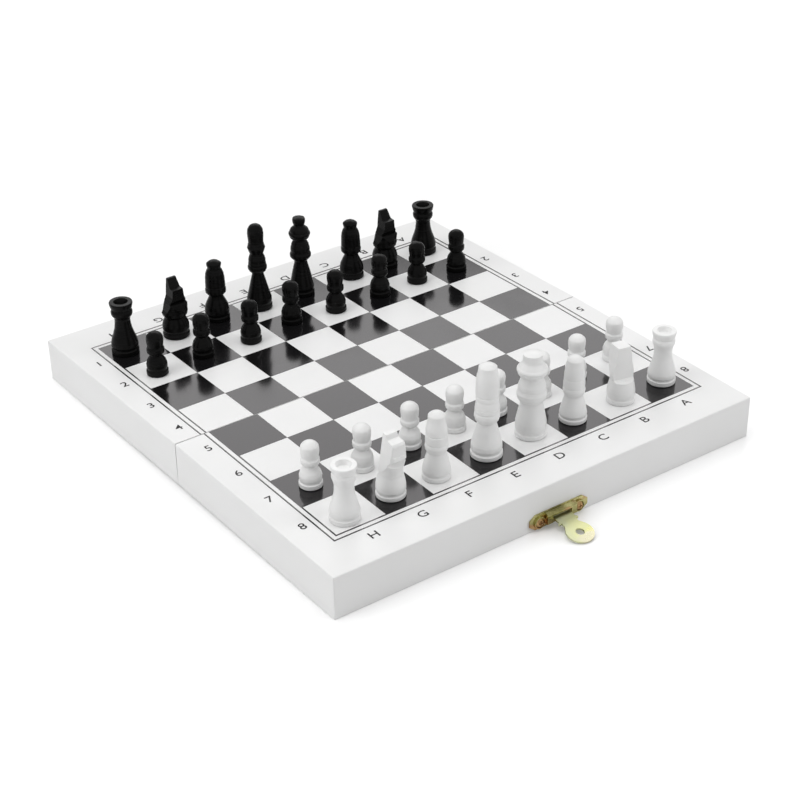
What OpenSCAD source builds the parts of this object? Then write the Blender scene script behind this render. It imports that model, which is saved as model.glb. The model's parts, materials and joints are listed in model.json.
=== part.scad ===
// Folding chess box, opened flat with its playing surface up, and its 32 turned chessmen.
// Millimetres. X runs along the seam, -Y is the side of the catch, Z is up from the table.
// The two halves are shallow trays that lie on their open sides. The hinge barrels under the
// seam hold the middle up a little, so each half slopes down to its outer edge.

/* [Board] */
// side of one square of the playing field
square_size = 25; // [20:1:40]
// bare margin beside the playing field, left and right
side_margin = 16.25; // [12:0.25:30]
// bare margin in front of and behind the playing field
end_margin = 23.8; // [14:0.1:35]
// thickness of each half, from its rim to its playing surface
board_thickness = 20.8; // [18:0.1:35]
// thickness of the playing panel
panel_thickness = 3; // [2:0.5:6]
// thickness of the rails of the tray
rail_width = 9; // [8:0.5:14]
// radius of the outer edges
edge_radius = 0.6; // [0.3:0.1:1.5]
// room between each half and the plane in which the two would meet
closing_gap = 0.1; // [0.05:0.05:0.5]

/* [Print] */
// thickness of the ink on the panel
ink = 0.08; // [0.05:0.01:0.2]
// width of the two border lines
line_width = 0.7; // [0.3:0.1:1.5]
// distance from the playing field to the outer border line
border_offset = 2.65; // [1.5:0.05:6]
// sideways shift of the print on the front half
front_print_shift = 1.65; // [-3:0.05:3]
// sideways shift of the print on the rear half
rear_print_shift = 0.15; // [-3:0.05:3]

/* [Hinges] */
// length of each hinge
hinge_length = 25; // [20:1:40]
// distance from the middle of each hinge to the side of the box
hinge_inset = 44.25; // [30:0.25:60]
// width of each leaf, from the seam
leaf_width = 7; // [6:0.5:10]
// thickness of the leaf
leaf_thickness = 0.6; // [0.4:0.1:0.8]
// outer diameter of the barrel
barrel_diameter = 2.6; // [2.2:0.1:4]
// diameter of the pin
pin_diameter = 1.3; // [1:0.1:1.5]
// radial clearance of the turning knuckle on the pin
pin_clearance = 0.04; // [0.02:0.01:0.1]
// gap between neighbouring knuckles
knuckle_gap = 0.2; // [0.1:0.1:0.5]

/* [Catch] */
// length of the catch plate
catch_length = 32.4; // [30:0.1:45]
// height of the catch plate
catch_height = 7.4; // [7:0.1:12]
// sideways place of the catch
catch_x = 1; // [-10:0.1:10]
// height of the lower edge of the plate above the rim
catch_rise = 0.8; // [0.5:0.1:4]
// thickness of the sheet
sheet = 0.8; // [0.6:0.1:1]
// length of the pressed bridge
bridge_length = 16.5; // [15:0.5:20]
// height of the bridge above the rail
bridge_depth = 3.2; // [3.2:0.1:4]
// distance from each end of the bridge to the screw beside it
bridge_to_screw = 2.8; // [2.4:0.05:5]
// diameter of the heads of the screws in the catch
catch_head = 4.2; // [3.6:0.1:4.6]
// diameter of the round end of the flap
flap_diameter = 12.8; // [11:0.1:16]
// diameter of the hole in the flap
flap_hole = 4; // [3.5:0.1:5]
// distance from the flap's pivot to the middle of its hole
flap_reach = 13.3; // [12:0.1:16]
// clearance of the stud in the hole, all round
stud_clearance = 0.3; // [0.2:0.1:0.8]
// diameter of the heads of the screws in the keeper
keeper_head = 3.6; // [3:0.1:4]
// room between the round end of the flap and the heads of the keeper's screws
flap_room = 0.4; // [0.3:0.1:1]

/* [Chessmen] */
// height of the light king, which sets the size of all the chessmen
king_height = 46; // [39:0.5:55]

/* [Hidden] */
$fn = 48;
e = 0.01;
front = -1;
rear = 1;
left = -1;
right = 1;
half_depth = 4*square_size + end_margin;
half_width = 4*square_size + side_margin;
outer = closing_gap + half_depth;
rim = closing_gap;
rail_height = board_thickness - panel_thickness;
top = rim + board_thickness;
axis_z = barrel_diameter/2;
droop = asin((axis_z + rim)/outer);
// the flap's pivot, measured from the rail and from the rim
pivot_out = 1.7;
pivot_up = rim + catch_rise + catch_height/2 + 0.15;
pivot_r = 0.6;
flap_t = 0.9;
flap_neck = 9.2;
flap_tip = flap_reach + flap_diameter/2;
pivot_z = axis_z + pivot_up*cos(droop) - (outer + pivot_out)*sin(droop);
flap_lean = asin((pivot_z - flap_t/2 - 0.1)/flap_tip);
stud_up = rim + flap_reach - (pivot_up - rim);
stud_out = 2.9;
// the front reach of the flap and the rear reach of the stud centre the part on the origin
front_reach = (outer + pivot_out)*cos(droop) + pivot_up*sin(droop) + flap_tip*cos(flap_lean);
rear_reach = (outer + stud_out)*cos(droop) + stud_up*sin(droop);
seam_y = (front_reach - rear_reach)/2;
screw_r = 1;
screw_room = 0.02;
hinge_distance = half_width - hinge_inset;
hinge_screw_x = hinge_length/2 - 5;
hinge_screw_y = closing_gap + leaf_width - 2.6;
catch_screw_x = bridge_length/2 + bridge_to_screw;
catch_screw_up = rim + catch_rise + catch_height/2 - 0.5;
keeper_screw_x = flap_diameter/2 + flap_room + keeper_head/2;
keeper_length = 2*keeper_screw_x + keeper_head + 2.4;
keeper_height = 7.6;
set_scale = king_height/46;

PAINT = "white";
BRASS = [0.85, 0.75, 0.4];
STEEL = [0.7, 0.7, 0.65];
BLACK = [0.12, 0.12, 0.12];

// ---- the frame of one half: x along the seam, y away from it, z up from the hinge line ----

module half(side) {
    translate([0, seam_y, axis_z]) rotate([-side*droop, 0, 0]) toward(side) children();
}

module toward(side) {
    if (side < 0) mirror([0, 1, 0]) children();
    else children();
}

// ---- wooden parts ----

// outline of a half, with its two outer corners rounded
module footprint() {
    r = edge_radius;
    translate([-half_width, closing_gap]) square([2*half_width, half_depth - r]);
    translate([-half_width + r, closing_gap]) square([2*(half_width - r), half_depth]);
    for (s = [-1, 1]) translate([s*(half_width - r), outer - r]) circle(r);
}

module panel() {
    r = edge_radius;
    translate([0, 0, rim + rail_height]) linear_extrude(panel_thickness - r) footprint();
    translate([0, 0, rim + rail_height]) linear_extrude(panel_thickness) intersection() {
        footprint();
        translate([-half_width + r, closing_gap])
            square([2*(half_width - r), half_depth - r]);
    }
    translate([0, 0, top - r]) {
        for (s = [-1, 1]) {
            translate([s*(half_width - r), closing_gap, 0]) rotate([-90, 0, 0])
                cylinder(r = r, h = half_depth - r);
            translate([s*(half_width - r), outer - r, 0]) sphere(r);
        }
        translate([-half_width + r, outer - r, 0]) rotate([0, 90, 0])
            cylinder(r = r, h = 2*(half_width - r));
    }
}

// the four rails meet in mitres
module outer_rail() {
    w = rail_width;
    translate([0, 0, rim]) linear_extrude(rail_height) intersection() {
        footprint();
        polygon([[-half_width, outer], [half_width, outer],
                 [half_width - w, outer - w], [-half_width + w, outer - w]]);
    }
}

module inner_rail() {
    w = rail_width;
    difference() {
        translate([0, 0, rim]) linear_extrude(rail_height)
            polygon([[-half_width, closing_gap], [half_width, closing_gap],
                     [half_width - w, closing_gap + w], [-half_width + w, closing_gap + w]]);
        for (lr = [left, right]) hinge_seat(lr);
    }
}

module side_rail(lr) {
    w = rail_width;
    translate([0, 0, rim]) linear_extrude(rail_height) intersection() {
        footprint();
        polygon([[lr*half_width, closing_gap], [lr*half_width, outer],
                 [lr*(half_width - w), outer - w], [lr*(half_width - w), closing_gap + w]]);
    }
}

// ---- print ----

// i counts the squares from the left, k the rows from the seam
function is_dark(side, i, k) = (i + k + (side == rear ? 1 : 0)) % 2 == 0;

module dark_square(i, k) {
    // a hair of overlap joins squares that meet at a corner
    translate([(i - 4)*square_size - e, k*square_size + (k == 0 ? closing_gap : -e), top])
        cube([square_size + 2*e, square_size + e - (k == 0 ? closing_gap : -e), ink]);
}

module border(offset) {
    h = 4*square_size + offset;
    for (lr = [left, right]) translate([lr*h - line_width/2, closing_gap, top])
        cube([line_width, h + line_width/2 - closing_gap, ink]);
    translate([-h - line_width/2, h - line_width/2, top]) cube([2*h + line_width, line_width, ink]);
}

module print(side) {
    translate([side == front ? front_print_shift : rear_print_shift, 0, 0]) {
        for (k = [0:3], i = [0:7]) if (is_dark(side, i, k)) dark_square(i, k);
        border(line_width/2);
        border(border_offset + line_width/2);
    }
}

// ---- hinges ----

// mortise, barrel notch and screw holes in the rail at the seam
module hinge_seat(lr) {
    translate([lr*hinge_distance, 0, 0]) {
        translate([-hinge_length/2 - 0.1, 0, 0])
            cube([hinge_length + 0.2, closing_gap + leaf_width + 0.1, rim + leaf_thickness]);
        translate([-hinge_length/2 - 0.2, 0, 0]) rotate([0, 90, 0])
            cylinder(r = barrel_diameter/2 + 0.2, h = hinge_length + 0.4);
        for (s = [-1, 1]) translate([s*hinge_screw_x, hinge_screw_y, 0])
            cylinder(r = screw_r + screw_room, h = rim + leaf_thickness + 6.5);
    }
}

module knuckle(x0, x1) {
    translate([x0, 0, 0]) rotate([0, 90, 0]) cylinder(d = barrel_diameter, h = x1 - x0);
}

module hinge_leaf(side, lr) {
    l = hinge_length;
    third = l/3;
    bore = pin_diameter/2 + (side == front ? 0.01 : pin_clearance);
    mine = side == front
        ? [[-l/2, -third/2 - knuckle_gap/2], [third/2 + knuckle_gap/2, l/2]]
        : [[-third/2 + knuckle_gap/2, third/2 - knuckle_gap/2]];
    others = side == front
        ? [[-third/2, third/2]]
        : [[-l/2 - 1, -third/2], [third/2, l/2 + 1]];
    translate([lr*hinge_distance, 0, 0]) difference() {
        union() {
            difference() {
                translate([-l/2, 0.9, rim])
                    cube([l, closing_gap + leaf_width - 0.9, leaf_thickness]);
                // room for the knuckles of the other leaf
                for (o = others) translate([o[0] - 0.1, 0, 0]) rotate([0, 90, 0])
                    cylinder(r = barrel_diameter/2 + 0.15, h = o[1] - o[0] + 0.2);
            }
            for (m = mine) knuckle(m[0], m[1]);
        }
        translate([-l/2 - 1, 0, 0]) rotate([0, 90, 0]) cylinder(r = bore, h = l + 2);
        for (s = [-1, 1]) translate([s*hinge_screw_x, hinge_screw_y, rim - e]) {
            cylinder(r = screw_r + screw_room, h = leaf_thickness + 2*e);
            cylinder(r1 = screw_r + leaf_thickness + screw_room + e,
                     r2 = screw_r + screw_room, h = leaf_thickness + e);
        }
    }
}

module hinge_pin(lr) {
    translate([lr*hinge_distance - hinge_length/2, 0, 0]) rotate([0, 90, 0])
        cylinder(d = pin_diameter, h = hinge_length);
}

// countersunk screw whose head lies flush with the leaf, driven upward from the rim
module hinge_screw() {
    difference() {
        union() {
            cylinder(r1 = screw_r + leaf_thickness, r2 = screw_r, h = leaf_thickness);
            cylinder(r = screw_r, h = leaf_thickness + 4.4);
            translate([0, 0, leaf_thickness + 4.4]) cylinder(r1 = screw_r, r2 = 0.2, h = 1.6);
        }
        translate([-2, -0.2, -e]) cube([4, 0.4, 0.35]);
    }
}

module hinge_screws() {
    for (lr = [left, right], s = [-1, 1])
        translate([lr*hinge_distance + s*hinge_screw_x, hinge_screw_y, rim]) hinge_screw();
}

// ---- catch ----

// x along the rail, y out of its outer face, z up from the rim
module at_catch() {
    translate([catch_x, outer, 0]) children();
}

module screw_holes(spread, height) {
    for (s = [-1, 1]) translate([s*spread, 0, height]) rotate([90, 0, 0])
        translate([0, 0, -1]) cylinder(r = screw_r + screw_room, h = 9);
}

module plate_outline(length, height, taper) {
    l = length/2;
    h = height/2;
    polygon([[-l, -h + taper], [-l + taper*1.4, -h], [l - taper*1.4, -h], [l, -h + taper],
             [l, h - taper], [l - taper*1.4, h], [-l + taper*1.4, h], [-l, h - taper]]);
}

// section of the pressed bridge: out from the rail along x, its upper outer edge rounded
module bridge_section(depth, low, high, r) {
    h = high - low;
    intersection() {
        square([depth, h]);
        union() {
            square([depth - r, h]);
            translate([0, -r]) square([depth, h]);
            translate([depth - r, h - r]) circle(r);
        }
    }
}

// length of the pressed sheet of the bridge from x0 on, solid where it isn't hollow
module bridge_part(x0, length, low, high, hollow) {
    translate([x0, 0, low]) rotate([90, 0, 90]) linear_extrude(length) difference() {
        bridge_section(bridge_depth, low, high, 1.4);
        if (hollow) translate([-1, -1])
            bridge_section(bridge_depth - sheet + 1, low - 1, high - sheet, 0.6);
    }
}

module plate() {
    b = bridge_length/2;
    leg = 3;
    up = rim + catch_rise + catch_height/2;
    roof = rim + catch_rise + catch_height - 0.2;
    at_catch() difference() {
        union() {
            translate([0, 0, up]) rotate([-90, 0, 0])
                linear_extrude(sheet) plate_outline(catch_length, catch_height, 2.2);
            bridge_part(-b, 2*b, roof - 1.6, roof, true);
            for (s = [-1, 1]) {
                // cheek and front leg at each end of the bridge, and the cup round the screw
                bridge_part(s*(b - sheet/2) - sheet/2, sheet, pivot_up - 1.9, roof, false);
                bridge_part(s*(b - leg/2) - leg/2, leg, pivot_up - 1.9, roof, true);
                translate([s*catch_screw_x, 0, catch_screw_up]) rotate([-90, 0, 0]) difference() {
                    cylinder(r1 = catch_head/2 + 1, r2 = catch_head/2 + 0.8, h = sheet + 0.8);
                    translate([0, 0, sheet]) cylinder(r = catch_head/2 + 0.3, h = 1);
                }
            }
        }
        // the sheet behind the bridge is open for the flap's pivot
        translate([-b + sheet, -1, pivot_up - 1.6])
            cube([2*b - 2*sheet, 1 + sheet + e, 3.2]);
        translate([-b + 0.2, pivot_out, pivot_up]) rotate([0, 90, 0])
            cylinder(r = pivot_r + 0.05, h = 2*b - 0.4);
        screw_holes(catch_screw_x, catch_screw_up);
    }
}

// the flap at its own pivot, reaching out along y, with a hook each side of its neck
module flap_shape() {
    neck = flap_neck/2;
    edge = [[-e, 0], [neck, 0], [neck, 4.4], [neck + 0.8, 5.1], [neck + 0.6, 5.9],
            [neck - 0.7, 5.6], [neck - 0.7, flap_reach - 5.7],
            [flap_diameter/2 - 0.7, flap_reach - 2.9], [-e, flap_reach]];
    difference() {
        union() {
            translate([-bridge_length/2 + 0.25, 0, 0]) rotate([0, 90, 0])
                cylinder(r = pivot_r, h = bridge_length - 0.5);
            translate([-neck, -pivot_r, -flap_t/2]) cube([2*neck, 2*pivot_r, flap_t]);
            translate([0, 0, -flap_t/2]) linear_extrude(flap_t) union() {
                for (s = [-1, 1]) polygon([for (p = edge) [s*p[0], p[1]]]);
                translate([0, flap_reach]) circle(d = flap_diameter);
            }
        }
        translate([0, flap_reach, -1]) cylinder(d = flap_hole, h = 2);
    }
}

module flap() {
    at_catch() translate([0, pivot_out, pivot_up]) rotate([droop - flap_lean, 0, 0]) flap_shape();
}

// round-headed screw with a cross recess, its head outward along y
module wall_screw(head_r) {
    rotate([-90, 0, 0]) difference() {
        union() {
            translate([0, 0, -6]) cylinder(r = screw_r, h = 6 + sheet + 0.2);
            translate([0, 0, -7.5]) cylinder(r1 = 0.2, r2 = screw_r, h = 1.5);
            translate([0, 0, sheet]) cylinder(r = head_r, h = 0.5);
            translate([0, 0, sheet + 0.5]) cylinder(r1 = head_r, r2 = head_r - 0.6, h = 0.7);
        }
        for (a = [0, 90]) rotate([0, 0, a]) translate([-head_r*0.6, -0.25, sheet + 0.7])
            cube([head_r*1.2, 0.5, 1]);
    }
}

module catch_screw_pair() {
    at_catch() for (s = [-1, 1])
        translate([s*catch_screw_x, 0, catch_screw_up]) wall_screw(catch_head/2);
}

module keeper() {
    at_catch() difference() {
        union() {
            translate([0, 0, stud_up]) rotate([-90, 0, 0])
                linear_extrude(sheet) plate_outline(keeper_length, keeper_height, 1.8);
            translate([0, 0, stud_up]) rotate([-90, 0, 0]) {
                cylinder(d = flap_hole - 2*stud_clearance, h = stud_out - 0.6);
                translate([0, 0, stud_out - 0.6])
                    cylinder(d1 = flap_hole - 2*stud_clearance,
                             d2 = flap_hole - 2*stud_clearance - 1.2, h = 0.6);
            }
        }
        screw_holes(keeper_screw_x, stud_up);
    }
}

module keeper_screw_pair() {
    at_catch() for (s = [-1, 1])
        translate([s*keeper_screw_x, 0, stud_up]) wall_screw(keeper_head/2);
}

// pilot holes for the screws in the outer rail
module rail_holes(spread, height) {
    at_catch() for (s = [-1, 1]) translate([s*spread, 0, height]) rotate([90, 0, 0])
        translate([0, 0, -1]) cylinder(r = screw_r + screw_room, h = 8.7);
}

// ---- chessmen: turned outlines from the foot up ----

module turned() {
    rotate_extrude() intersection() {
        translate([0, -1]) square([20, 60]);
        union() children();
    }
}

// foot of radius r and height h with eased edges, and the groove above it
module foot(r, h) {
    polygon([[0, 0], [r - 0.5, 0], [r, 0.5], [r, h - 0.6], [r - 0.6, h], [0, h]]);
    square([r - 0.6, h + 0.5]);
}

// low dome of radius r and rise h that closes an outline at height z
module cap(r, z, h) {
    ball = (r*r + h*h)/(2*h);
    intersection() {
        translate([0, z - ball + h]) circle(ball);
        translate([0, z - 0.2]) square([r, h + 1]);
    }
}

// body under a cap, its outline given from the foot up as [radius, height]
module shaft(outline) {
    last = outline[len(outline) - 1];
    polygon(concat([[0, outline[0][1] - 1]], [[outline[0][0], outline[0][1] - 1]], outline,
                   [[0, last[1]]]));
}

module pawn() {
    turned() {
        foot(5.25, 2.8);
        shaft([[4.75, 3.3], [5, 4.2], [5, 5.6], [4.5, 7.4], [3.5, 9], [2.85, 10], [2.85, 10.4],
               [3.6, 11], [4.1, 11.6], [4.25, 12.4], [4.2, 13.6], [3.8, 14.2], [3.65, 14.6],
               [3.8, 15.2], [4.05, 17.2], [4.1, 18.8], [3.9, 20]]);
        cap(3.9, 20, 2.3);
    }
}

// body is its outline from the foot up to its crown
module rook(body) {
    difference() {
        turned() {
            foot(6.7, 2.8);
            shaft(concat(body, [[4.9, 23], [4.75, 23.3], [5, 23.7], [5.4, 25], [5.65, 26.2],
                                [5.65, 26.8], [5.45, 27.1]]));
        }
        translate([0, 0, 25]) cylinder(r1 = 2.6, r2 = 3.5, h = 2.1 + e);
    }
}

module dark_rook() {
    rook([[6.2, 3.2], [6.6, 4.2], [6.5, 6], [5.9, 8.2], [5, 10.6], [4.3, 13], [3.9, 15.5],
          [3.75, 17.6], [4, 19], [4.9, 20.2], [5.2, 21], [5.25, 22.2]]);
}

module light_rook() {
    rook([[6.3, 3.2], [6.6, 4.2], [6.5, 5.6], [6, 7.4], [5.4, 9.4], [4.9, 11.2], [4.5, 13],
          [4.3, 15], [4.25, 17], [4.5, 18.8], [5, 20.2], [5.25, 21.2], [5.25, 22.4]]);
}

module dark_bishop() {
    turned() {
        foot(6.2, 2.6);
        shaft([[5.7, 3], [6.15, 4], [6.1, 6], [5.7, 7.8], [4.7, 10], [3.9, 11.6], [3.5, 12.8],
               [3.5, 13.3], [4.3, 13.9], [5.1, 14.9], [5.2, 16.4], [5, 17.2], [4.9, 17.6],
               [5, 18.2], [4.95, 20], [4.8, 23], [4.5, 25], [3.9, 26.6], [3.4, 27.3],
               [3.3, 28], [3.5, 28.8], [3.7, 29.6], [3.7, 30.2]]);
        cap(3.7, 30.2, 1.7);
    }
}

module light_bishop() {
    turned() {
        foot(6.4, 2.6);
        shaft([[5.9, 3], [6.3, 4], [6.1, 5.4], [5.7, 7.2], [5.2, 9], [4.7, 10.8], [4.3, 12.2],
               [4.15, 13], [4.4, 13.7], [4.9, 14.6], [5.1, 16], [4.95, 17], [4.75, 17.4],
               [4.9, 17.9], [4.9, 20], [4.8, 21.4], [4.6, 21.8], [4.75, 22.3], [4.65, 24.4],
               [4.3, 26.4], [3.85, 28.6], [3.7, 31]]);
        cap(3.7, 31, 1.9);
    }
}

module dark_queen() {
    turned() {
        foot(6.3, 2.6);
        shaft([[5.8, 3], [6.15, 4.2], [6.1, 5.6], [5.6, 7.8], [5.1, 10], [4.65, 12.2],
               [3.95, 15], [3.4, 17.2], [3.25, 18.6], [3.5, 19.2], [4.6, 20.1], [5.35, 21.2],
               [5.4, 22.4], [5.05, 23.2], [4.85, 24.1], [4.95, 24.8], [4.85, 26], [4.5, 27.2],
               [4.35, 28], [3.8, 29], [3.25, 30], [3.3, 30.5], [4.6, 31.2], [5, 31.9],
               [4.95, 32.3], [5.4, 33], [5.5, 33.6], [5.35, 34.1], [4.9, 34.5], [4.85, 35.2],
               [4.4, 36.2], [3.5, 37], [2.75, 37.6], [2.65, 38.4], [3, 39], [3.25, 40],
               [3.25, 41.2], [3, 41.9]]);
        cap(3, 41.9, 0.7);
    }
}

module light_queen() {
    turned() {
        foot(7.1, 2.8);
        shaft([[6.6, 3.2], [7.05, 4.4], [7, 7.5], [6.6, 9.6], [6.1, 12], [5.6, 14.2],
               [5.15, 16], [5, 17.2], [5.3, 18], [6.2, 19], [6.7, 20.4], [6.8, 22], [6.4, 23],
               [6.2, 23.8], [6.3, 24.6], [6.1, 26], [5.6, 27.4], [5.2, 28.6], [4.6, 29.6],
               [4.5, 30.2], [5.1, 30.8], [6.3, 31.4], [6.6, 32.2], [6.5, 32.6], [6.95, 33.2],
               [7, 33.8], [6.7, 34.4], [6.1, 34.9], [5.5, 35.8], [4.9, 36.6], [4.5, 37.2],
               [4.35, 38], [4.4, 41.2]]);
        cap(4.4, 41.2, 0.9);
    }
}

module dark_king() {
    turned() {
        foot(6.4, 2.7);
        shaft([[5.9, 3.1], [6.3, 4.2], [6.2, 6], [5.6, 8.2], [5, 10.4], [4.4, 12.8], [3.9, 15],
               [3.3, 17.2], [2.95, 18.6], [3, 19.6], [4.2, 20.8], [4.8, 22], [4.8, 23.2],
               [4.5, 24], [4.45, 25], [4.3, 25.6], [4.3, 27], [3.9, 28.4], [3.5, 29.4],
               [3.4, 30.2], [3.8, 31.2], [4.2, 32.4], [4.5, 33.4], [4.15, 34.4], [4.05, 35.2],
               [3.8, 36], [3.85, 37.6], [4, 39.4], [4.05, 41.2], [3.85, 43], [3.2, 44.3],
               [2.8, 44.8]]);
        cap(2.8, 44.8, 1.1);
    }
}

module light_king() {
    turned() {
        foot(7.2, 2.8);
        shaft([[6.6, 3.2], [7, 4.4], [6.9, 6.4], [6.3, 8.6], [5.7, 10.8], [5.2, 13.2],
               [4.6, 15.4], [4.15, 17], [4.3, 17.6], [5.2, 18.6], [5.7, 20.2], [5.6, 21.6],
               [5.3, 22.2], [5.5, 22.8], [5.45, 24.2], [5.15, 24.6], [5.35, 25], [5.2, 26], [5.1, 27], [4.9, 27.8],
               [4.9, 28.4], [5.15, 29], [5.1, 30], [4.9, 30.5], [5.2, 31.2], [5.25, 33],
               [5.15, 35.4], [5.1, 37.6], [4.8, 40], [4.4, 41.6], [4.15, 43.2], [4, 44.4]]);
        cap(4, 44.4, 1.6);
    }
}

// A knight is turned like the others up to its neck, then sawn. It looks along -y.
// body and blank are its turned outlines, side is the sawn outline from the left, and
// front_half that of the right half from the front.
module knight(body, blank, side, front_half) {
    n = len(front_half);
    turned() {
        foot(6.6, 2.6);
        shaft(body);
    }
    intersection() {
        turned() polygon(concat([[0, 10.6]], blank, [[6.9, 32], [0, 32]]));
        rotate([90, 0, 90]) translate([0, 0, -8]) linear_extrude(16)
            polygon(concat([[-7, 10], [-7, 15.6]], side, [[1.6, 12], [3, 11.2], [7, 11.2], [7, 10]]));
        rotate([90, 0, 0]) translate([0, 0, -8]) linear_extrude(16)
            polygon(concat(front_half, [for (i = [n - 1:-1:0]) [-front_half[i][0], front_half[i][1]]]));
    }
}

// crest is the height of its back edge
module light_knight(crest) {
    knight([[6.1, 3], [6.6, 4.2], [6.5, 6.2], [6.2, 8], [5.8, 9.8], [5.5, 11.2]],
           [[5.2, 10.6], [5.5, 11.4], [5.4, 12.8], [5.6, 14.6], [6.2, 17], [6.9, 20]],
           [[-3.8, 18.3], [-6.4, 20.2], [-6.5, 21.8], [-6.1, 22.2], [-6.3, 27.4],
            [-5.6, min(28.4, crest - 0.2)], [-1.9, min(29, crest - 0.1)],
            [-1.1, crest - 0.05], [1.4, crest]],
           [[7, 10], [7, 12.4], [5.6, 13.6], [4.3, 20], [3.3, 27], [2.7, 31.4]]);
}

module dark_knight() {
    knight([[6.1, 3], [6.6, 4.2], [6.6, 6.2], [6.1, 8.2], [5.3, 9.8], [5, 10.4], [5, 11.2]],
           [[5, 10.6], [5.2, 11], [6.1, 12], [6.5, 13.6], [6.4, 15.4], [6.9, 19]],
           [[-6.4, 15.6], [-5.6, 18.2], [-3.8, 19.4], [-5, 20.8], [-5.2, 26.6], [-2.3, 26.9],
            [0.1, 31.2], [1.4, 31.2]],
           [[7, 10], [7, 12.4], [5.6, 15], [4.6, 19], [3.2, 22.5], [2.8, 27], [2.3, 31.4]]);
}

// sets a piece down on square i of row k from the seam; off is its offset in squares
module stand(side, i, k, off, turn = 0) {
    shift = side == front ? front_print_shift : rear_print_shift;
    half(side)
        translate([(i - 3.5 + off[0])*square_size + shift, (k + 0.5 + off[1])*square_size,
                   top + (is_dark(side, i, k) ? ink : 0)])
            rotate([0, 0, turn]) scale(set_scale) children();
}

// ---- nodes ----

module playing_panel_front() color(PAINT) half(front) panel();
module playing_panel_rear() color(PAINT) half(rear) panel();
module catch_rail() color(PAINT) half(front) difference() {
    outer_rail();
    rail_holes(catch_screw_x, catch_screw_up);
}
module back_rail() color(PAINT) half(rear) difference() {
    outer_rail();
    rail_holes(keeper_screw_x, stud_up);
}
module seam_rail_front() color(PAINT) half(front) inner_rail();
module seam_rail_rear() color(PAINT) half(rear) inner_rail();
module side_rail_front_left() color(PAINT) half(front) side_rail(left);
module side_rail_front_right() color(PAINT) half(front) side_rail(right);
module side_rail_rear_left() color(PAINT) half(rear) side_rail(left);
module side_rail_rear_right() color(PAINT) half(rear) side_rail(right);
module printed_squares_front() color(BLACK) half(front) print(front);
module printed_squares_rear() color(BLACK) half(rear) print(rear);

module hinge_leaf_front_left() color(BRASS) half(front) hinge_leaf(front, left);
module hinge_leaf_front_right() color(BRASS) half(front) hinge_leaf(front, right);
module hinge_leaf_rear_left() color(BRASS) half(rear) hinge_leaf(rear, left);
module hinge_leaf_rear_right() color(BRASS) half(rear) hinge_leaf(rear, right);
module hinge_pin_left() color(STEEL) half(front) hinge_pin(left);
module hinge_pin_right() color(STEEL) half(front) hinge_pin(right);
module hinge_screws_front() color(STEEL) half(front) hinge_screws();
module hinge_screws_rear() color(STEEL) half(rear) hinge_screws();

module catch_plate() color(BRASS) half(front) plate();
module catch_flap() color(BRASS) half(front) flap();
module catch_screws() color(BRASS) half(front) catch_screw_pair();
module keeper_plate() color(BRASS) half(rear) keeper();
module keeper_screws() color(BRASS) half(rear) keeper_screw_pair();

module white_rook_h8() color(PAINT) stand(front, 0, 3, [-0.12, 0.2]) light_rook();
module white_knight_g8() color(PAINT) stand(front, 1, 3, [-0.09, 0.08], 180) light_knight(31.2);
module white_bishop_f8() color(PAINT) stand(front, 2, 3, [-0.13, 0.09]) light_bishop();
module white_king_e8() color(PAINT) stand(front, 3, 3, [-0.01, 0.06]) light_king();
module white_queen_d8() color(PAINT) stand(front, 4, 3, [0.04, 0]) light_queen();
module white_bishop_c8() color(PAINT) stand(front, 5, 3, [-0.03, 0.07]) light_bishop();
module white_knight_b8() color(PAINT) stand(front, 6, 3, [0.11, 0.08], 12) light_knight(28);
module white_rook_a8() color(PAINT) stand(front, 7, 3, [0.17, 0.03]) light_rook();
module white_pawn_h7() color(PAINT) stand(front, 0, 2, [-0.01, 0.02]) pawn();
module white_pawn_g7() color(PAINT) stand(front, 1, 2, [0.01, 0.1]) pawn();
module white_pawn_f7() color(PAINT) stand(front, 2, 2, [0.09, 0.02]) pawn();
module white_pawn_e7() color(PAINT) stand(front, 3, 2, [0.07, 0.04]) pawn();
module white_pawn_d7() color(PAINT) stand(front, 4, 2, [0.01, 0.05]) pawn();
module white_pawn_c7() color(PAINT) stand(front, 5, 2, [0.07, 0.04]) pawn();
module white_pawn_b7() color(PAINT) stand(front, 6, 2, [0.01, -0.06]) pawn();
module white_pawn_a7() color(PAINT) stand(front, 7, 2, [0.03, -0.16]) pawn();

module black_rook_h1() color(BLACK) stand(rear, 0, 3, [-0.16, 0.09]) dark_rook();
module black_knight_g1() color(BLACK) stand(rear, 1, 3, [-0.03, 0.08]) dark_knight();
module black_bishop_f1() color(BLACK) stand(rear, 2, 3, [-0.02, 0.19]) dark_bishop();
module black_king_e1() color(BLACK) stand(rear, 3, 3, [-0.1, 0.07]) dark_king();
module black_queen_d1() color(BLACK) stand(rear, 4, 3, [-0.08, 0.06]) dark_queen();
module black_bishop_c1() color(BLACK) stand(rear, 5, 3, [0.16, 0.07]) dark_bishop();
module black_knight_b1() color(BLACK) stand(rear, 6, 3, [0.01, 0.07]) dark_knight();
module black_rook_a1() color(BLACK) stand(rear, 7, 3, [0.03, 0.09]) dark_rook();
module black_pawn_h2() color(BLACK) stand(rear, 0, 2, [-0.1, -0.05]) pawn();
module black_pawn_g2() color(BLACK) stand(rear, 1, 2, [-0.04, 0.04]) pawn();
module black_pawn_f2() color(BLACK) stand(rear, 2, 2, [-0.01, -0.05]) pawn();
module black_pawn_e2() color(BLACK) stand(rear, 3, 2, [0.06, 0.14]) pawn();
module black_pawn_d2() color(BLACK) stand(rear, 4, 2, [0.03, 0]) pawn();
module black_pawn_c2() color(BLACK) stand(rear, 5, 2, [0.13, 0.02]) pawn();
module black_pawn_b2() color(BLACK) stand(rear, 6, 2, [0.08, 0.03]) pawn();
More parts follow.
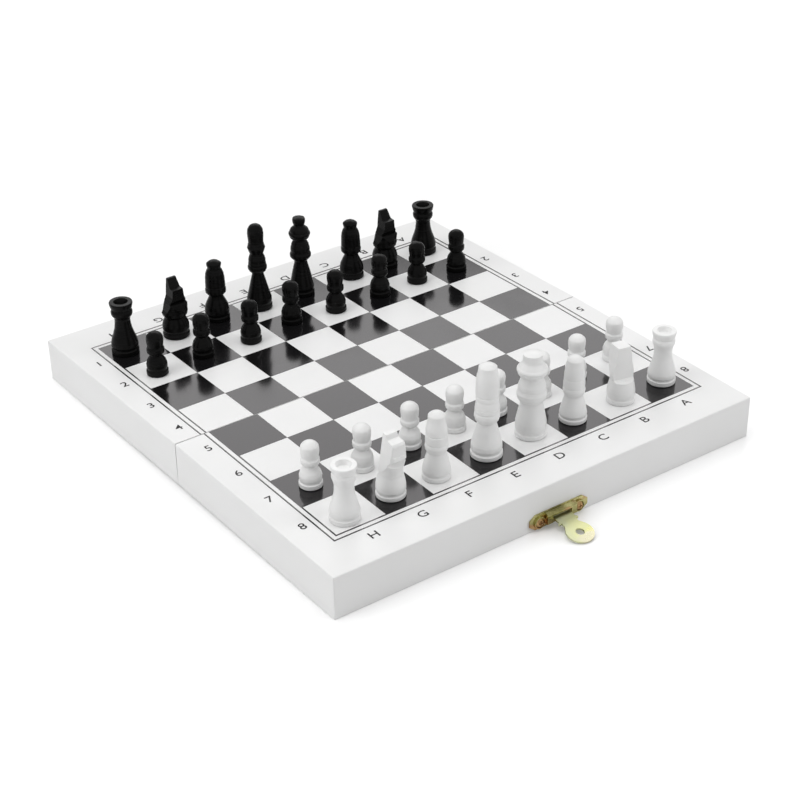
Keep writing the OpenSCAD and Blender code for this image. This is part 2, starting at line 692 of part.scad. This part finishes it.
module black_pawn_a2() color(BLACK) stand(rear, 7, 2, [0.06, -0.02]) pawn();

playing_panel_front();
catch_rail();
seam_rail_front();
side_rail_front_left();
side_rail_front_right();
printed_squares_front();
playing_panel_rear();
back_rail();
seam_rail_rear();
side_rail_rear_left();
side_rail_rear_right();
printed_squares_rear();
hinge_leaf_front_left();
hinge_leaf_front_right();
hinge_leaf_rear_left();
hinge_leaf_rear_right();
hinge_pin_left();
hinge_pin_right();
hinge_screws_front();
hinge_screws_rear();
catch_plate();
catch_flap();
catch_screws();
keeper_plate();
keeper_screws();
white_rook_h8();
white_knight_g8();
white_bishop_f8();
white_king_e8();
white_queen_d8();
white_bishop_c8();
white_knight_b8();
white_rook_a8();
white_pawn_h7();
white_pawn_g7();
white_pawn_f7();
white_pawn_e7();
white_pawn_d7();
white_pawn_c7();
white_pawn_b7();
white_pawn_a7();
black_rook_h1();
black_knight_g1();
black_bishop_f1();
black_king_e1();
black_queen_d1();
black_bishop_c1();
black_knight_b1();
black_rook_a1();
black_pawn_h2();
black_pawn_g2();
black_pawn_f2();
black_pawn_e2();
black_pawn_d2();
black_pawn_c2();
black_pawn_b2();
black_pawn_a2();
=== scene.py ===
"""Looks of the folding chess box and its chessmen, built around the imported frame."""
import json
import math

import bmesh
import bpy
from mathutils import Matrix, Vector


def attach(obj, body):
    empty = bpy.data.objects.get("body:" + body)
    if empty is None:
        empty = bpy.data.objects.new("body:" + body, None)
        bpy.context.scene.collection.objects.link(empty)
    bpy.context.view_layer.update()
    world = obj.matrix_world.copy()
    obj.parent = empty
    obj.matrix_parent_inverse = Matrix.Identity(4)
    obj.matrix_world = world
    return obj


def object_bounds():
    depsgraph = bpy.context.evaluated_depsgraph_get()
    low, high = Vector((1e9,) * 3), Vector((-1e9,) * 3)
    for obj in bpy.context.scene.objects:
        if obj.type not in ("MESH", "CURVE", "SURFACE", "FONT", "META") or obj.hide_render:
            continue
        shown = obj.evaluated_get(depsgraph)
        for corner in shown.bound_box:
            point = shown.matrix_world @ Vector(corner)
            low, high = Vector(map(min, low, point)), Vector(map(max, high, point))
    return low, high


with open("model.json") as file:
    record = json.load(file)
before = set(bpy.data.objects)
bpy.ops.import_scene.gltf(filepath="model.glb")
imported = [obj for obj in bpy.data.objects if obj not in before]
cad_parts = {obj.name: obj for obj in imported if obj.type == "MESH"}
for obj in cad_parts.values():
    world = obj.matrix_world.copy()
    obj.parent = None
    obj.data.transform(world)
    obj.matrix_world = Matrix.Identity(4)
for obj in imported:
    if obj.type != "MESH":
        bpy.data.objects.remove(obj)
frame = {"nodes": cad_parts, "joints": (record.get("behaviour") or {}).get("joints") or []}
nodes = frame["nodes"]
cad_low, cad_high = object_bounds()
MM = 0.001

# ---------------------------------------------------------------- the frame of one half, in mm
# x runs along the seam, v away from it, w up from the hinge line
FRONT, REAR = -1, 1
NAME = {FRONT: "front", REAR: "rear"}
CLOSING_GAP = 0.1
HALF_DEPTH = 123.8
BOARD_THICKNESS = 20.8
SQUARE = 25
INK = 0.08
PRINT_SHIFT = {FRONT: 1.65, REAR: 0.15}
TOP = CLOSING_GAP + BOARD_THICKNESS
FOLD = next(j for j in frame["joints"] if j["name"] == "board_fold")
SEAM_Y = FOLD["pos_m"][1] / MM
AXIS_Z = FOLD["pos_m"][2] / MM
# the hinges hold the seam up, so each half slopes down to its outer edge
DROOP = math.asin((AXIS_Z + CLOSING_GAP) / (CLOSING_GAP + HALF_DEPTH))


def place(side, x, v, w):
    """A point of a half's own frame, in mm, as a point of the row frame, in metres."""
    c, s = math.cos(DROOP), math.sin(DROOP)
    return Vector((x, SEAM_Y + side * (v * c + w * s), AXIS_Z + w * c - v * s)) * MM


# ---------------------------------------------------------------- nodes of materials
NOISE_SPAN = (0.3, 0.7)
WHITE = (1, 1, 1, 1)


def new_material(name):
    m = bpy.data.materials.new(name)
    m.use_nodes = True
    tree = m.node_tree
    return m, tree, tree.nodes["Principled BSDF"]


def node(tree, kind, **values):
    """A new node with its properties, and its inputs where the names are inputs."""
    n = tree.nodes.new(kind)
    for key, value in values.items():
        if key in n.inputs:
            n.inputs[key].default_value = value
        else:
            setattr(n, key, value)
    return n


def math_node(tree, operation, a, b):
    """Combines a socket with another socket or a number."""
    n = node(tree, "ShaderNodeMath", operation=operation)
    tree.links.new(a, n.inputs[0])
    if isinstance(b, bpy.types.NodeSocket):
        tree.links.new(b, n.inputs[1])
    else:
        n.inputs[1].default_value = b
    return n.outputs[0]


def noise(tree, scale, detail, stretch=(1, 1, 1), rough=0.5):
    """Noise in object space; scale is per metre."""
    coords = node(tree, "ShaderNodeTexCoord")
    stretched = node(tree, "ShaderNodeMapping", Scale=stretch)
    tree.links.new(coords.outputs["Object"], stretched.inputs["Vector"])
    n = node(tree, "ShaderNodeTexNoise", Scale=scale, Detail=detail, Roughness=rough)
    tree.links.new(stretched.outputs["Vector"], n.inputs["Vector"])
    return n.outputs["Fac"]


def ramp(tree, source, a, b, span=NOISE_SPAN):
    """Maps the span of a source to the range a to b; noise lies nearly all in NOISE_SPAN."""
    limits = {"From Min": span[0], "From Max": span[1], "To Min": a, "To Max": b}
    r = node(tree, "ShaderNodeMapRange", **limits)
    tree.links.new(source, r.inputs["Value"])
    return r.outputs["Result"]


def mix_colours(tree, factor, a, b):
    """Mixes colour a, which may be a socket, with colour b."""
    m = node(tree, "ShaderNodeMix", data_type="RGBA")
    if isinstance(a, bpy.types.NodeSocket):
        tree.links.new(a, m.inputs["A"])
    else:
        m.inputs["A"].default_value = (*a, 1)
    m.inputs["B"].default_value = (*b, 1)
    tree.links.new(factor, m.inputs["Factor"])
    return m.outputs["Result"]


def surface(tree, bsdf, colour, roughness, height, distance):
    """Links the varied colour, roughness and bump; distance is in metres."""
    tree.links.new(colour, bsdf.inputs["Base Color"])
    tree.links.new(roughness, bsdf.inputs["Roughness"])
    b = node(tree, "ShaderNodeBump", Strength=1.0, Distance=distance)
    tree.links.new(height, b.inputs["Height"])
    tree.links.new(b.outputs["Normal"], bsdf.inputs["Normal"])


# ---------------------------------------------------------------- materials
PEEL_SHARE = 0.25
BAND_SPAN = (0.52, 0.62)
BAND_STRENGTH = 0.75


def painted_board(name, grain):
    """White satin lacquer on wood, with the grain just telegraphing through."""
    m, tree, bsdf = new_material(name)
    fibre = noise(tree, 60, 6, grain, 0.6)
    peel = noise(tree, 900, 2)
    cloud = noise(tree, 18, 3)
    colour = mix_colours(tree, ramp(tree, cloud, 0, 1), (0.80, 0.80, 0.795),
                         (0.825, 0.825, 0.825))
    height = math_node(tree, "ADD", fibre, math_node(tree, "MULTIPLY", peel, PEEL_SHARE))
    surface(tree, bsdf, colour, ramp(tree, fibre, 0.36, 0.46), height, 0.00004)
    return m


def gloss_ink(name, specular):
    """Black screen print: smooth, with the pale set mirrored in it."""
    m, tree, bsdf = new_material(name)
    cloud = noise(tree, 40, 3)
    peel = noise(tree, 500, 3)
    bsdf.inputs["Specular IOR Level"].default_value = specular
    bsdf.inputs["Specular Tint"].default_value = (1, 0.955, 0.975, 1)
    surface(tree, bsdf, mix_colours(tree, cloud, (0.004, 0.004, 0.0045), (0.009, 0.0085, 0.009)),
            ramp(tree, cloud, 0.10, 0.15), peel, 0.000003)
    return m


def turned_wood(name, colours, roughness, specular):
    """Eased paint on turned wood, with the marks of the tool round it."""
    m, tree, bsdf = new_material(name)
    rings = noise(tree, 260, 5, (0.35, 0.35, 3.0), 0.6)
    cloud = noise(tree, 90, 3)
    bsdf.inputs["Specular IOR Level"].default_value = specular
    surface(tree, bsdf, mix_colours(tree, ramp(tree, cloud, 0, 1), *colours),
            ramp(tree, rings, *roughness), rings, 0.00006)
    return m


def metal(name, colours, roughness, scale, distance):
    """Plated sheet: two colours that drift into each other, and a third in thin bands."""
    m, tree, bsdf = new_material(name)
    cloud = noise(tree, scale, 3)
    film = noise(tree, scale * 0.7, 2, (1, 1.6, 1.6))
    base = mix_colours(tree, ramp(tree, cloud, 0, 1, (0.35, 0.65)), *colours[:2])
    for band in colours[2:]:
        base = mix_colours(tree, ramp(tree, film, 0, BAND_STRENGTH, BAND_SPAN), base, band)
    bsdf.inputs["Metallic"].default_value = 1.0
    surface(tree, bsdf, base, ramp(tree, cloud, *roughness), film, distance)
    return m


PAINT_ALONG_X = painted_board("paint_grain_along_x", (0.12, 1, 1))
PAINT_ALONG_Y = painted_board("paint_grain_along_y", (1, 0.12, 1))
INK_BLACK = gloss_ink("printed_squares_ink", 0.5)
INK_LETTERS = gloss_ink("printed_letters_ink", 0.1)
WHITE_MEN = turned_wood("white_men_paint", ((0.80, 0.80, 0.795), (0.85, 0.85, 0.845)),
                        (0.34, 0.46), 0.5)
BLACK_MEN = turned_wood("black_men_paint", ((0.0025, 0.0025, 0.0025), (0.005, 0.0048, 0.0046)),
                        (0.20, 0.32), 0.1)
CHROMATE = metal("yellow_chromate",
                 ((0.63, 0.62, 0.28), (0.62, 0.64, 0.40), (0.64, 0.60, 0.47)),
                 (0.24, 0.34), 90, 0.00002)
# the plates' chromate: the olive and reddish bands are the plating's own colour, and its darkest
# olive is painted shade on the plates
CHROMATE_OLIVE_AND_SHADE = metal("olive_chromate_and_painted_shade",
                       ((0.26, 0.24, 0.09), (0.62, 0.58, 0.27), (0.50, 0.27, 0.13)),
                       (0.18, 0.30), 160, 0.00003)
COPPER = metal("copper_screws", ((0.36, 0.20, 0.09), (0.62, 0.42, 0.20)),
               (0.22, 0.34), 300, 0.00002)
BRASS = metal("hinge_brass", ((0.72, 0.58, 0.26), (0.80, 0.68, 0.36)),
              (0.22, 0.34), 160, 0.00002)
STEEL = metal("plated_steel", ((0.60, 0.58, 0.52), (0.70, 0.68, 0.62)),
              (0.22, 0.34), 200, 0.00002)

# the first of these words in a node's name gives its material; the rest is hinge steel
FINISH = (("white_", WHITE_MEN), ("black_", BLACK_MEN), ("printed", INK_BLACK),
          ("side_rail", PAINT_ALONG_Y), ("rail", PAINT_ALONG_X), ("panel", PAINT_ALONG_X),
          ("hinge_leaf", BRASS), ("catch_flap", CHROMATE), ("catch_plate", CHROMATE_OLIVE_AND_SHADE),
          ("keeper_plate", CHROMATE_OLIVE_AND_SHADE), ("catch_screws", COPPER), ("keeper_screws", COPPER))
for name, o in nodes.items():
    o.data.materials.clear()
    o.data.materials.append(next((m for word, m in FINISH if word in name), STEEL))


# ---------------------------------------------------------------- letters and digits, in mm
LETTERS = "HGFEDCBA"
DIGITS = {FRONT: "5678", REAR: "4321"}
LETTERS_V = {FRONT: 109.0, REAR: 108.75}
# x, v from the square's edge on the side of the seam, and whether the digit is turned round
DIGIT_COLUMNS = ((-107.8, 11.5, False), (108.1, 12.0, True))
CAP_HEIGHT = 4.4
# width over height, against the plain font's
LETTER_WIDTH = 1.12
# outward offset of the outline, for a size of 1
STROKE_GAIN = 0.004
# the lower face of the letters, which end just below the face of the squares' ink
LETTER_W = TOP + 0.03


def glyph_mesh(text):
    """Mesh of one letter or digit, a cap height of 1 and centred on the origin."""
    curve = bpy.data.curves.new("glyph", "FONT")
    curve.body = text
    curve.offset = STROKE_GAIN
    curve.resolution_u = 4
    source = bpy.data.objects.new("glyph", curve)
    mesh = bpy.data.meshes.new_from_object(source)
    bpy.data.objects.remove(source)
    bpy.data.curves.remove(curve)
    low = Vector((min(v.co[i] for v in mesh.vertices) for i in range(2)))
    high = Vector((max(v.co[i] for v in mesh.vertices) for i in range(2)))
    middle, height = (low + high) / 2, high.y - low.y
    for v in mesh.vertices:
        v.co = ((v.co.x - middle.x) * LETTER_WIDTH / height, (v.co.y - middle.y) / height, 0)
    return mesh


def stamp(bm, side, text, x, v, turned):
    """Adds one mark at x, v. A turned mark reads from the rear, any other from the catch."""
    mesh = glyph_mesh(text)
    size = -CAP_HEIGHT if turned else CAP_HEIGHT
    points = [bm.verts.new(place(side, x + size * p.co.x, v + side * size * p.co.y, LETTER_W))
              for p in mesh.vertices]
    for polygon in mesh.polygons:
        bm.faces.new([points[i] for i in polygon.vertices])
    bpy.data.meshes.remove(mesh)


def new_piece(name, bm, material, body):
    mesh = bpy.data.meshes.new(name)
    bm.to_mesh(mesh)
    bm.free()
    mesh.materials.append(material)
    o = bpy.data.objects.new(name, mesh)
    bpy.context.scene.collection.objects.link(o)
    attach(o, body)


def coordinates(side):
    """The letters along the outer edge and the digits down both sides of one half."""
    bm = bmesh.new()
    shift = PRINT_SHIFT[side]
    for i, letter in enumerate(LETTERS):
        x = (i - (len(LETTERS) - 1) / 2) * SQUARE + shift
        stamp(bm, side, letter, x, LETTERS_V[side], side == REAR)
    for row, digit in enumerate(DIGITS[side]):
        for x, v, turned in DIGIT_COLUMNS:
            stamp(bm, side, digit, x + shift, SQUARE * row + v, turned)
    solid = bmesh.ops.extrude_face_region(bm, geom=bm.faces[:])
    lift = place(side, 0, 0, INK / 2) - place(side, 0, 0, 0)
    for item in solid["geom"]:
        if isinstance(item, bmesh.types.BMVert):
            item.co += lift
    bmesh.ops.recalc_face_normals(bm, faces=bm.faces[:])
    new_piece("coordinates_" + NAME[side], bm, INK_LETTERS, NAME[side] + "_half")


for side in (FRONT, REAR):
    coordinates(side)


# ---------------------------------------------------------------- stage and lights, in metres
FLOOR_SIZE = 8
FLOOR_GAP = 0.0002
# what the camera sees added to the floor: little near the box, and up to white away from it
FLOOR_LIFT = 0.15
LIFT_SPAN = (0.25, 0.7)
# strength of the world for plain light and for reflections; the camera sees it white
AMBIENT, MIRRORED = 0.26, 0.65


def make_floor():
    bpy.ops.mesh.primitive_plane_add(size=FLOOR_SIZE, location=(0, 0, cad_low[2] - FLOOR_GAP))
    floor = bpy.context.object
    floor.name = "floor"
    m, tree, bsdf = new_material("floor_white")
    for key, value in {"Base Color": (0.90, 0.90, 0.90, 1), "Roughness": 0.22,
                       "Specular IOR Level": 0.35, "Emission Color": WHITE}.items():
        bsdf.inputs[key].default_value = value
    coords = node(tree, "ShaderNodeTexCoord")
    away = node(tree, "ShaderNodeVectorMath", operation="LENGTH")
    tree.links.new(coords.outputs["Object"], away.inputs[0])
    path = node(tree, "ShaderNodeLightPath")
    lift = math_node(tree, "MULTIPLY", path.outputs["Is Camera Ray"],
                     ramp(tree, away.outputs["Value"], FLOOR_LIFT, 1.0, LIFT_SPAN))
    tree.links.new(lift, bsdf.inputs["Emission Strength"])
    floor.data.materials.append(m)


def make_world():
    world = bpy.data.worlds.new("studio")
    bpy.context.scene.world = world
    world.use_nodes = True
    tree = world.node_tree
    background = tree.nodes["Background"]
    background.inputs["Color"].default_value = WHITE
    path = node(tree, "ShaderNodeLightPath")
    strength = math_node(tree, "MAXIMUM", path.outputs["Is Camera Ray"],
                         ramp(tree, path.outputs["Is Glossy Ray"], AMBIENT, MIRRORED, (0, 1)))
    tree.links.new(strength, background.inputs["Strength"])


def area(name, location, size, power, **visible):
    """An area lamp that looks at the origin, with its power in watts."""
    lamp = bpy.data.lights.new(name, "AREA")
    lamp.shape = "RECTANGLE"
    lamp.size, lamp.size_y = size
    lamp.energy = power
    o = bpy.data.objects.new(name, lamp)
    o.location = location
    o.rotation_euler = (-Vector(location)).to_track_quat("-Z", "Y").to_euler()
    bpy.context.scene.collection.objects.link(o)
    for key, value in visible.items():
        setattr(o, "visible_" + key, value)


make_floor()
make_world()
area("top_light", (-0.15, 0.1, 1.3), (1.4, 1.4), 10.9, glossy=False)
area("left_light", (-1.3, 0.2, 0.7), (0.9, 0.9), 7.6, glossy=False)
area("front_light", (1.1, -1.1, 0.7), (1.0, 1.0), 10.0, glossy=False)
# the softbox behind the set, which the glossy ink mirrors
area("back_softbox", (0.72, 1.06, 1.10), (1.7, 0.95), 8.8, diffuse=False)

# ---------------------------------------------------------------- camera
# the photograph's camera, fitted to the corners of the squares and the edges of the box,
# in degrees, mm and, for the focal length, pixels of the photograph
AZIMUTH, ELEVATION, ROLL = -35.6436, 30.5317, -0.9868
DISTANCE = 898.31
TARGET = Vector((7.495, SEAM_Y + 0.903, 0))
FOCAL_PIXELS = 1860.3
PHOTO_WIDTH = 800
SENSOR_WIDTH = 36


def make_camera():
    az, el, roll = (math.radians(a) for a in (AZIMUTH, ELEVATION, ROLL))
    back = Vector((math.sin(az) * math.cos(el), -math.cos(az) * math.cos(el), math.sin(el)))
    right = (-back).cross(Vector((0, 0, 1))).normalized()
    up = right.cross(-back)
    right, up = (math.cos(roll) * right + math.sin(roll) * up,
                 -math.sin(roll) * right + math.cos(roll) * up)
    lens = bpy.data.cameras.new("camera")
    lens.sensor_fit = "HORIZONTAL"
    lens.sensor_width = SENSOR_WIDTH
    lens.lens = SENSOR_WIDTH * FOCAL_PIXELS / PHOTO_WIDTH
    lens.clip_start = 0.05
    camera = bpy.data.objects.new("camera", lens)
    turn = Matrix((right, up, back)).transposed().to_4x4()
    camera.matrix_world = Matrix.Translation((TARGET + DISTANCE * back) * MM) @ turn
    bpy.context.scene.collection.objects.link(camera)
    bpy.context.scene.camera = camera


make_camera()
bpy.context.scene.view_settings.view_transform = "Standard"
